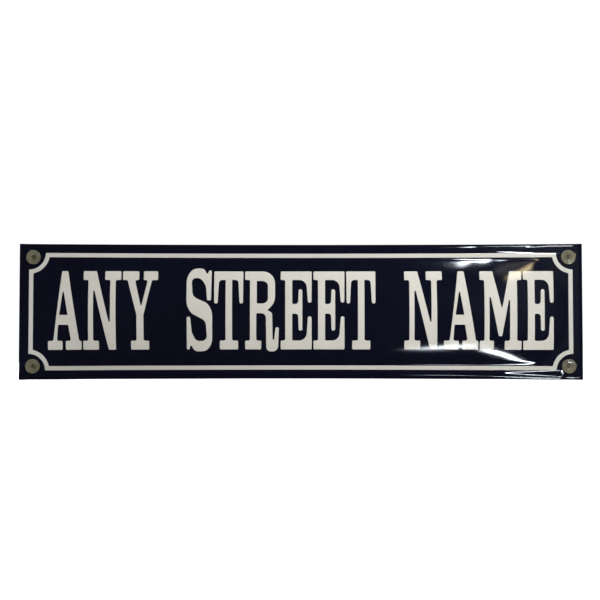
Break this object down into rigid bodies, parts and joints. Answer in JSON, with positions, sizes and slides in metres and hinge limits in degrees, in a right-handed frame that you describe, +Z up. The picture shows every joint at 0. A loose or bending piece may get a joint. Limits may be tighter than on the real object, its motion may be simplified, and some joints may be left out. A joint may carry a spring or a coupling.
{
  "type": "street name sign",
  "caption": "Domed enamelled steel street name plate with a raised white border line, hollow corners and a flanged plastic bush in each corner screw hole.",
  "frame": {"origin": "centre of the plane that the sign is screwed against, midway between its screw holes", "axes": "+X along the sign to the reader's right, +Z up, -Y out of the front"},
  "size_m": [0.5, 0.0087, 0.121],
  "materials": {
    "navy_enamel": "near-black navy vitreous enamel, wet gloss, on pressed steel",
    "white_enamel": "raised warm white vitreous enamel, wet gloss",
    "bush_plastic": "milky translucent natural plastic, satin"
  },
  "bodies": {
    "root": {"enamel_plate": "navy_enamel", "white_border": "white_enamel", "bush_top_left": "bush_plastic", "bush_top_right": "bush_plastic", "bush_bottom_left": "bush_plastic", "bush_bottom_right": "bush_plastic"}
  },
  "joints": []
}
